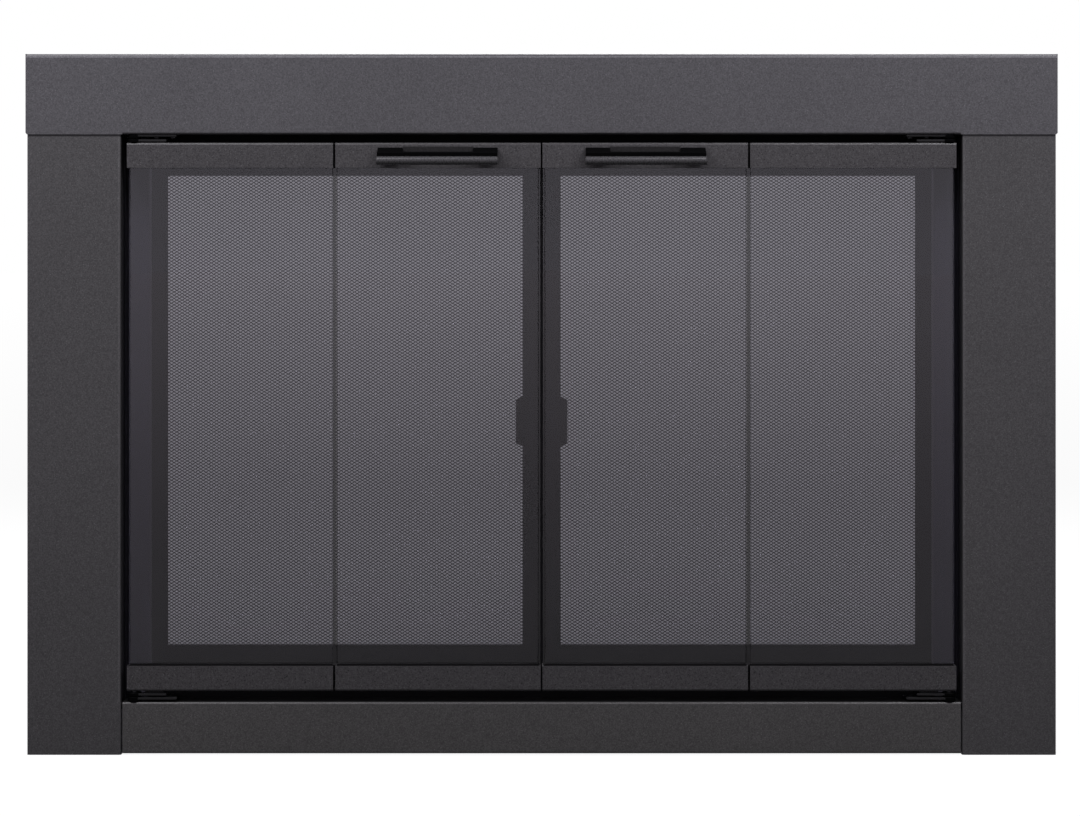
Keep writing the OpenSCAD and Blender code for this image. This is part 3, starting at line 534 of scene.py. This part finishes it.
# ---- Fold hinges ----
# Two knuckled hinges join the panels of a pair, screwed to the backs of the rails.
# A slim steel strip with the same coat covers the gap between the pairs from behind.

wear(["left_meeting_strip"], dark_steel)
for side in ("left", "right"):
    wear([side + "_outer_hinge_leaves", side + "_inner_hinge_leaves"], dark_steel)
    wear([side + "_fold_pins"], black_oxide)

# ---- Handles ----
# A coated steel bar lies in a black moulded bridge, which stands on the inner panel's top rail.
# A dark film lies on the rail behind the bar, between the bridge's feet, and darkens the rail there.

foot_w = 26.1
film_depth = (1.25, 1.5)
film_z = (639, 651)
bar_coat = coat("bar powder coat", (0.022, 0.0213, 0.0224), specular=0.45, roughness=0.28, fleck=0.35)
dark_film = coat(
    "dark film on the rail", (0.0145, 0.0138, 0.0145), specular=0.06, roughness=0.5, fleck=0.3
)
for side in ("left", "right"):
    wear([side + "_handle_bar"], bar_coat)
    wear([side + "_handle_bridge"], moulded)
    low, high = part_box(side + "_handle_bridge")
    film = block((low.x / mm + foot_w, high.x / mm - foot_w), film_depth, film_z, rim=0.05)
    piece(side + "_handle_backing", film, dark_film, side + "_inner_door")

# ---- Catches ----
# Ferrite magnets on the head channel hold the panels and the screens shut.
# A black stop in the middle of the head channel takes the corners of both screens.

stop_x = (-4, 4)
stop_depth = (30.5, 33)
stop_z = (639.5, 654)
stop = block(stop_x, stop_depth, stop_z, rim=0.5)
piece("centre_stop", stop, moulded, "surround")
ferrite = coat(
    "ferrite", (0.045, 0.042, 0.04), specular=0.3, roughness=0.55, fleck=0.2, grain=0.0008
)
wear(["catch_magnets"], ferrite)

# ---- Mesh screens ----
# A frame of black strip is folded flat over the edges of a sheet of expanded steel.
# The sheet is slit and drawn into staggered diamonds, and the rims of its strands are bevelled.

screen_coat = coat(
    "black screen coat", (0.0074, 0.0069, 0.0076), specular=0.1, roughness=0.5, fleck=0.15
)
black_steel = coat(
    "blackened mesh", (0.016, 0.016, 0.017), specular=0.3, roughness=0.45, fleck=0.2, grain=0.0009
)
diamond_w = 5.75 * mm
diamond_h = 3.49 * mm
strand_w = 0.84 * mm
strand_t = 0.7 * mm
columns = 69  # diamonds across the sheet
rows = 74  # rows of diamonds, with as many between them, in each half of the sheet


def everything(mesh):
    """All the vertices, edges and faces of a mesh."""
    return mesh.verts[:] + mesh.edges[:] + mesh.faces[:]


def repeated(mesh, step, times):
    """Adds copies of everything in the mesh, each a step further on."""
    first = everything(mesh)
    for turn in range(1, times):
        copy = bmesh.ops.duplicate(mesh, geom=first)["geom"]
        bmesh.ops.translate(mesh, verts=verts_of(copy), vec=step * turn)


def expanded_sheet():
    """Half a screen's sheet, with its lower left diamond round the origin."""
    mesh = bmesh.new()
    bmesh.ops.create_circle(mesh, cap_ends=True, radius=0.5, segments=4)
    bmesh.ops.rotate(mesh, verts=mesh.verts, matrix=Matrix.Rotation(math.pi / 2, 3, "X"))
    bmesh.ops.scale(mesh, verts=mesh.verts, vec=(diamond_w, 1, diamond_h))
    bmesh.ops.translate(mesh, verts=mesh.verts, vec=(0, -strand_t / 2, 0))
    bmesh.ops.recalc_face_normals(mesh, faces=mesh.faces)
    facing = mesh.faces[:][0].normal.y
    bmesh.ops.inset_individual(
        mesh, faces=mesh.faces[:], thickness=strand_w / 2, depth=strand_t / 2 * facing,
        use_even_offset=True,
    )
    hole = [face for face in mesh.faces if all(abs(vert.co.y) < strand_t / 4 for vert in face.verts)]
    bmesh.ops.delete(mesh, geom=hole, context="FACES_ONLY")
    bmesh.ops.mirror(mesh, geom=everything(mesh), axis="Y", merge_dist=strand_t / 10)
    repeated(mesh, Vector((diamond_w / 2, 0, diamond_h / 2)), 2)
    repeated(mesh, Vector((diamond_w, 0, 0)), columns)
    repeated(mesh, Vector((0, 0, diamond_h)), rows)
    bmesh.ops.remove_doubles(mesh, verts=mesh.verts, dist=strand_t / 20)
    rim = [edge for edge in mesh.edges if edge.is_boundary and edge.verts[0].co.y < 0]
    drawn = bmesh.ops.extrude_edge_only(mesh, edges=rim)["geom"]
    bmesh.ops.translate(mesh, verts=verts_of(drawn), vec=(0, strand_t, 0))
    bmesh.ops.remove_doubles(mesh, verts=mesh.verts, dist=strand_t / 20)
    bmesh.ops.recalc_face_normals(mesh, faces=mesh.faces)
    return mesh


sheet_w = (columns - 0.5) * diamond_w
sheet_h = (2 * rows - 0.5) * diamond_h
half_sheet = expanded_sheet()
for side in ("left", "right"):
    wear([side + "_screen_rails", side + "_screen_stiles", side + "_screen_pull"], screen_coat)
    wear([side + "_screen_pins"], black_oxide)
    low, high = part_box(side + "_screen_mesh")
    corner = (low + high) / 2 - Vector((sheet_w, 0, sheet_h)) / 2
    for half, end in enumerate(("lower", "upper")):
        moved = half_sheet.copy()
        at = corner + Vector((0, 0, half * rows * diamond_h))
        bmesh.ops.translate(moved, verts=moved.verts, vec=at)
        sheet = piece(f"{side}_mesh_{end}", moved, black_steel, side + "_screen")
        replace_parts(sheet, side + "_screen_mesh")

# ---- Studio ----
# A pale floor and a white backdrop, with two soft lamps above and in front and one behind.
# The camera stands in the room, level, with its lens shifted down to the door.

lens = 79.5 * mm
sensor = 36 * mm
view_w = 1155 * mm
view_mid_x = -1.7 * mm
view_mid_z = 371.3 * mm
camera_z = 530 * mm
nearest_seen = 0.1
furthest_seen = 250

camera_data = bpy.data.cameras.new("camera")
camera_data.sensor_width = sensor / mm
camera_data.lens = lens / mm
camera_data.shift_y = (view_mid_z - camera_z) / view_w
camera_data.clip_start = nearest_seen
camera_data.clip_end = furthest_seen
camera = in_scene("camera", camera_data)
camera.location = (view_mid_x, face_y - view_w * lens / sensor, camera_z)
camera.rotation_euler = (math.pi / 2, 0, 0)
bpy.context.scene.camera = camera
bpy.context.scene.view_settings.view_transform = "Standard"


def seen(tree):
    """One for the rays by which the camera, a reflection or clear glass sees the background."""
    path = put(tree, "LightPath").outputs
    mirrored = maths(tree, "MAXIMUM", path["Is Glossy Ray"], path["Is Transmission Ray"])
    looking = maths(tree, "MAXIMUM", path["Is Camera Ray"], mirrored)
    return product(tree, looking, maths(tree, "LESS_THAN", path["Diffuse Depth"], 0.5))


def either(tree, mask, usual, other):
    """The usual value where a mask is nothing, and the other where it is one. A tuple is a colour."""
    if isinstance(other, tuple):
        return put(tree, "Mix", {0: mask, 6: usual, 7: other}, data_type="RGBA").outputs[2]
    return put(tree, "Mix", {0: mask, 2: usual, 3: other}).outputs[0]


# The room is a trace more violet where it is mirrored, as in the glass.
white = (1, 1, 1, 1)
room_light = 0.1  # the world's part of the light on the object
mirrored_room = (1, 0.95, 1.08, 1)

world = bpy.data.worlds.new("studio")
bpy.context.scene.world = world
world.use_nodes = True
backdrop = world.node_tree
background = backdrop.nodes["Background"].inputs
in_mirror = put(backdrop, "LightPath").outputs["Is Reflection Ray"]
backdrop.links.new(either(backdrop, in_mirror, white, mirrored_room), background["Color"])
brightness = spread(backdrop, seen(backdrop), 0.0, 1.0, room_light, 1.0)
backdrop.links.new(brightness, background["Strength"])

# The floor reaches the horizon, and its glow rises to white with the distance from the object.
# Half of the rise comes within half_glow_at. Near the object the glow depends on how it is seen.
floor_radius = 90
floor_colour = (0.13, 0.13, 0.13, 1)
half_glow_at = 2.55
near_glow_seen = 0.85
near_glow_through_glass = 0.38
near_glow_in_mirror = 0.0
mirrored_floor = (1, 0.93, 1.04, 1)

floor_mesh = bmesh.new()
bmesh.ops.create_circle(floor_mesh, cap_ends=True, radius=floor_radius, segments=96)
floor_data = bpy.data.meshes.new("floor")
floor_mesh.to_mesh(floor_data)
floor = in_scene("floor", floor_data)
pale = bpy.data.materials.new("pale floor")
pale.use_nodes = True
ground = pale.node_tree
ground.nodes.clear()
matt = put(ground, "BsdfDiffuse", {"Color": floor_colour})
reach = put(ground, "VectorMath", {0: place(ground)}, operation="LENGTH").outputs["Value"]
recede = maths(ground, "DIVIDE", reach, maths(ground, "ADD", reach, half_glow_at))
path = put(ground, "LightPath").outputs
near_glow = either(ground, path["Is Reflection Ray"], near_glow_through_glass, near_glow_in_mirror)
near_glow = either(ground, path["Is Camera Ray"], near_glow, near_glow_seen)
glow = spread(ground, recede, 0.0, 1.0, near_glow, 1.0)
glow_colour = either(ground, path["Is Reflection Ray"], white, mirrored_floor)
lifted = put(ground, "Emission", {"Color": glow_colour, "Strength": product(ground, seen(ground), glow)})
both = put(ground, "AddShader", {0: matt.outputs[0], 1: lifted.outputs[0]})
put(ground, "OutputMaterial", {"Surface": both.outputs[0]})
floor_data.materials.append(pale)


def lamp(name, at, aim, width, height, watts, colour):
    """A soft rectangular lamp that shines from at towards aim."""
    data = bpy.data.lights.new(name, "AREA")
    data.shape = "RECTANGLE"
    data.size = width
    data.size_y = height
    data.energy = watts
    data.color = colour
    made = in_scene(name, data)
    made.location = at
    made.rotation_euler = (Vector(aim) - Vector(at)).to_track_quat("-Z", "Y").to_euler()
    made.visible_camera = False


for side in (-1, 1):
    at, aim = (side * 0.95, -0.7, 1.65), (side * 0.8, 0, 0.45)
    lamp("strip light", at, aim, width=1.2, height=0.25, watts=28.5, colour=(0.97, 0.97, 1.0))
lamp("back light", (0, 1.9, 1.7), (0, 0, 0.4), width=1.6, height=0.8, watts=32, colour=(1, 1, 1))
